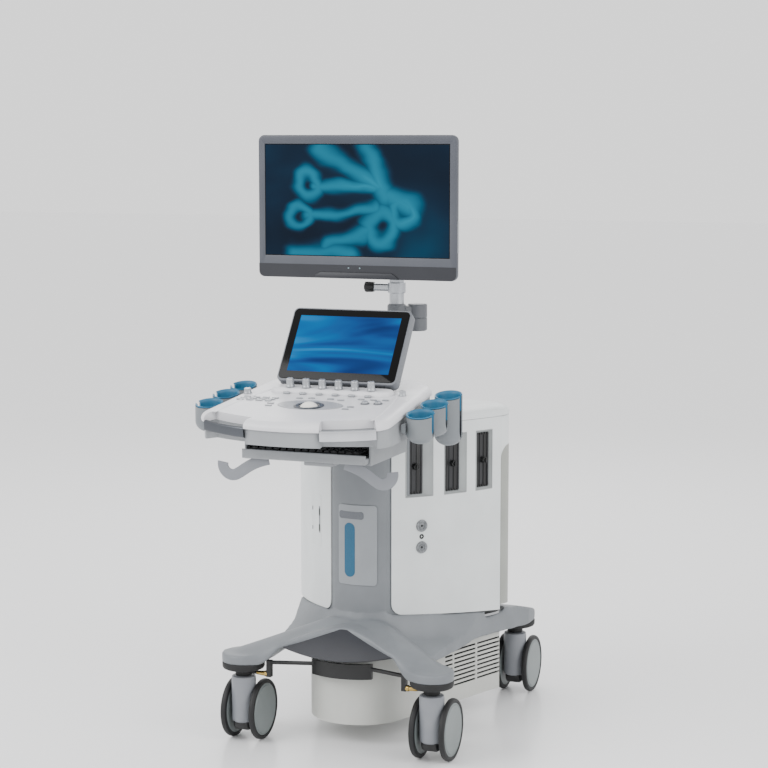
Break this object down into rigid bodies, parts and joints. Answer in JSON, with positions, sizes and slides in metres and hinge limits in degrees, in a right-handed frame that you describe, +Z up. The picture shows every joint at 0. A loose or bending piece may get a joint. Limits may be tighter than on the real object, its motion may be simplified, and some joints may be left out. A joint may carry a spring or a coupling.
{
  "type": "cart-mounted ultrasound machine",
  "caption": "Wheeled ultrasound scanner: a monitor on an arm, a tilting touch panel, a control console with probe cups and pull-out keyboard, and a tapered body on a cross-shaped castor base",
  "frame": {"origin": "on the floor, at the bottom centre of the bounding box", "axes": "+Z up; the machine faces -Y, so the person at the console stands on the -Y side; +X is the side with the probe ports"},
  "size_m": [0.597, 1.087, 1.4805],
  "materials": {
    "white_shell": "satin white moulded skin",
    "white_console": "satin white moulded deck",
    "grey_casting": "fine-grained grey paint on a casting",
    "pale_tub": "matt warm light grey",
    "grey_cover": "matt greenish grey",
    "cup_grey": "matt cool grey",
    "dark_slate": "matt slate",
    "black_plastic": "matt black",
    "rubber_black": "black rubber pads",
    "tyre_black": "smooth dark tread",
    "wheel_grey": "matt mid grey discs",
    "liner_teal": "soft teal blue lining",
    "badge_grey": "satin grey plate",
    "chassis_steel": "folded and drawn steel, hidden",
    "black_steel": "black powder coat on steel",
    "bright_metal": "bright satin metal",
    "arm_grey": "grey paint on metal",
    "ball_grey": "polished grey",
    "bezel_grey": "matt grey frame with a darker chin",
    "screen_glass": "dark display glass"
  },
  "bodies": {
    "base": {"base_casting": "grey_casting", "castor_mounts": "rubber_black", "foot_apron": "dark_slate", "lower_housing": "pale_tub", "chassis_frame": "chassis_steel", "electronics_box": "chassis_steel", "cooling_fan": "black_plastic", "side_panel_left": "white_shell", "side_panel_right": "white_shell", "top_cover": "white_shell", "rear_cover": "grey_cover", "badge_plate": "badge_grey", "port_frames": "dark_slate", "transducer_ports": "black_plastic", "power_inlet": "black_plastic"},
    "brake": {"brake_bar": "black_steel"},
    "castor_front_left": {"castor_fork_front_left": "grey_casting"},
    "wheels_front_left": {"castor_wheels_front_left": "wheel_grey", "castor_tyres_front_left": "tyre_black"},
    "castor_front_right": {"castor_fork_front_right": "grey_casting"},
    "wheels_front_right": {"castor_wheels_front_right": "wheel_grey", "castor_tyres_front_right": "tyre_black"},
    "castor_rear_left": {"castor_fork_rear_left": "grey_casting"},
    "wheels_rear_left": {"castor_wheels_rear_left": "wheel_grey", "castor_tyres_rear_left": "tyre_black"},
    "castor_rear_right": {"castor_fork_rear_right": "grey_casting"},
    "wheels_rear_right": {"castor_wheels_rear_right": "wheel_grey", "castor_tyres_rear_right": "tyre_black"},
    "lock_1": {"port_lock_1": "black_plastic"},
    "lock_2": {"port_lock_2": "black_plastic"},
    "lock_3": {"port_lock_3": "black_plastic"},
    "lift": {"lift_column": "chassis_steel"},
    "console": {"console_lower": "grey_cover", "console_upper": "white_console", "console_grips": "bright_metal", "trackball_surround": "ball_grey", "function_keys": "black_plastic", "probe_cups_left": "cup_grey", "probe_cups_right": "cup_grey", "cup_liners": "liner_teal"},
    "ball": {"trackball": "ball_grey"},
    "knob_1": {"rotary_knob_1": "black_plastic"},
    "knob_2": {"rotary_knob_2": "black_plastic"},
    "knob_3": {"rotary_knob_3": "black_plastic"},
    "knob_4": {"rotary_knob_4": "black_plastic"},
    "knob_5": {"rotary_knob_5": "black_plastic"},
    "knob_6": {"rotary_knob_6": "black_plastic"},
    "button_1": {"push_button_1": "wheel_grey"},
    "button_2": {"push_button_2": "wheel_grey"},
    "tray": {"keyboard_tray": "arm_grey", "keyboard": "black_plastic", "cable_hooks": "black_steel"},
    "touch": {"touch_housing": "dark_slate", "touch_glass": "screen_glass"},
    "lower_arm": {"monitor_lower_arm": "arm_grey"},
    "upper_arm": {"monitor_upper_arm": "bright_metal"},
    "head": {"tilt_head": "arm_grey"},
    "monitor": {"monitor_back": "dark_slate", "monitor_bezel": "bezel_grey", "monitor_screen": "screen_glass"}
  },
  "joints": [
    {"name": "brake_tilt", "type": "hinge", "parent": "base", "child": "brake", "pos_m": [0, -0.215, 0.174], "axis": [1, 0, 0], "range_deg": [-12, 12]},
    {"name": "castor_swivel_front_left", "type": "hinge", "parent": "base", "child": "castor_front_left", "pos_m": [-0.2455, -0.215, 0.11], "axis": [0, 0, 1], "continuous": true},
    {"name": "wheel_spin_front_left", "type": "hinge", "parent": "castor_front_left", "child": "wheels_front_left", "pos_m": [-0.2455, -0.185, 0.075], "axis": [1, 0, 0], "continuous": true},
    {"name": "castor_swivel_front_right", "type": "hinge", "parent": "base", "child": "castor_front_right", "pos_m": [0.2455, -0.215, 0.11], "axis": [0, 0, 1], "continuous": true},
    {"name": "wheel_spin_front_right", "type": "hinge", "parent": "castor_front_right", "child": "wheels_front_right", "pos_m": [0.2455, -0.185, 0.075], "axis": [1, 0, 0], "continuous": true},
    {"name": "castor_swivel_rear_left", "type": "hinge", "parent": "base", "child": "castor_rear_left", "pos_m": [-0.2455, 0.44, 0.11], "axis": [0, 0, 1], "continuous": true},
    {"name": "wheel_spin_rear_left", "type": "hinge", "parent": "castor_rear_left", "child": "wheels_rear_left", "pos_m": [-0.2455, 0.47, 0.075], "axis": [1, 0, 0], "continuous": true},
    {"name": "castor_swivel_rear_right", "type": "hinge", "parent": "base", "child": "castor_rear_right", "pos_m": [0.2455, 0.44, 0.11], "axis": [0, 0, 1], "continuous": true},
    {"name": "wheel_spin_rear_right", "type": "hinge", "parent": "castor_rear_right", "child": "wheels_rear_right", "pos_m": [0.2455, 0.47, 0.075], "axis": [1, 0, 0], "continuous": true},
    {"name": "port_lock_turn_1", "type": "hinge", "parent": "base", "child": "lock_1", "pos_m": [0.12841, -0.00783, 0.672], "axis": [0.7133, -0.7009, 0], "range_deg": [0, 90]},
    {"name": "port_lock_turn_2", "type": "hinge", "parent": "base", "child": "lock_2", "pos_m": [0.19784, 0.07418, 0.672], "axis": [0.809, -0.5878, 0], "range_deg": [0, 90]},
    {"name": "port_lock_turn_3", "type": "hinge", "parent": "base", "child": "lock_3", "pos_m": [0.24965, 0.15661, 0.672], "axis": [0.8805, -0.4741, 0], "range_deg": [0, 90]},
    {"name": "lift_slide", "type": "slide", "parent": "base", "child": "lift", "axis": [0, 0, 1], "range_m": [0, 0.15]},
    {"name": "console_swivel", "type": "hinge", "parent": "lift", "child": "console", "pos_m": [0, 0.0371, 0.76], "axis": [0, 0, 1], "range_deg": [-30, 30]},
    {"name": "trackball_roll", "type": "hinge", "parent": "console", "child": "ball", "pos_m": [0, -0.37154, 0.84808], "axis": [1, 0, 0], "continuous": true},
    {"name": "knob_turn_1", "type": "hinge", "parent": "console", "child": "knob_1", "pos_m": [-0.10325, -0.24429, 0.89061], "axis": [0, -0.1045, 0.9945], "continuous": true},
    {"name": "knob_turn_2", "type": "hinge", "parent": "console", "child": "knob_2", "pos_m": [-0.06195, -0.24429, 0.89061], "axis": [0, -0.1045, 0.9945], "continuous": true},
    {"name": "knob_turn_3", "type": "hinge", "parent": "console", "child": "knob_3", "pos_m": [-0.02065, -0.24429, 0.89061], "axis": [0, -0.1045, 0.9945], "continuous": true},
    {"name": "knob_turn_4", "type": "hinge", "parent": "console", "child": "knob_4", "pos_m": [0.02065, -0.24429, 0.89061], "axis": [0, -0.1045, 0.9945], "continuous": true},
    {"name": "knob_turn_5", "type": "hinge", "parent": "console", "child": "knob_5", "pos_m": [0.06195, -0.24429, 0.89061], "axis": [0, -0.1045, 0.9945], "continuous": true},
    {"name": "knob_turn_6", "type": "hinge", "parent": "console", "child": "knob_6", "pos_m": [0.10325, -0.24429, 0.89061], "axis": [0, -0.1045, 0.9945], "continuous": true},
    {"name": "button_press_1", "type": "slide", "parent": "console", "child": "button_1", "axis": [0, 0.1045, -0.9945], "range_m": [0, 0.003], "stiffness_N_per_m": 300, "springref_m": -0.001},
    {"name": "button_press_2", "type": "slide", "parent": "console", "child": "button_2", "axis": [0, 0.1045, -0.9945], "range_m": [0, 0.003], "stiffness_N_per_m": 300, "springref_m": -0.001},
    {"name": "tray_slide", "type": "slide", "parent": "console", "child": "tray", "axis": [0, -1, 0], "range_m": [0, 0.15]},
    {"name": "touch_tilt", "type": "hinge", "parent": "console", "child": "touch", "pos_m": [0, -0.19535, 0.90027], "axis": [1, 0, 0], "range_deg": [-20, 1]},
    {"name": "lower_arm_swing", "type": "hinge", "parent": "console", "child": "lower_arm", "pos_m": [0, 0, 0.93], "axis": [0, 0, 1], "range_deg": [-20, 40]},
    {"name": "upper_arm_swing", "type": "hinge", "parent": "lower_arm", "child": "upper_arm", "pos_m": [0.115, 0.035, 1.05], "axis": [0, 0, 1], "range_deg": [-30, 30]},
    {"name": "monitor_swivel", "type": "hinge", "parent": "upper_arm", "child": "head", "pos_m": [0.074, 0, 1.28], "axis": [0, 0, 1], "range_deg": [-45, 45]},
    {"name": "monitor_tilt", "type": "hinge", "parent": "head", "child": "monitor", "pos_m": [0, -0.008, 1.3], "axis": [1, 0, 0], "range_deg": [-20, 8]}
  ]
}
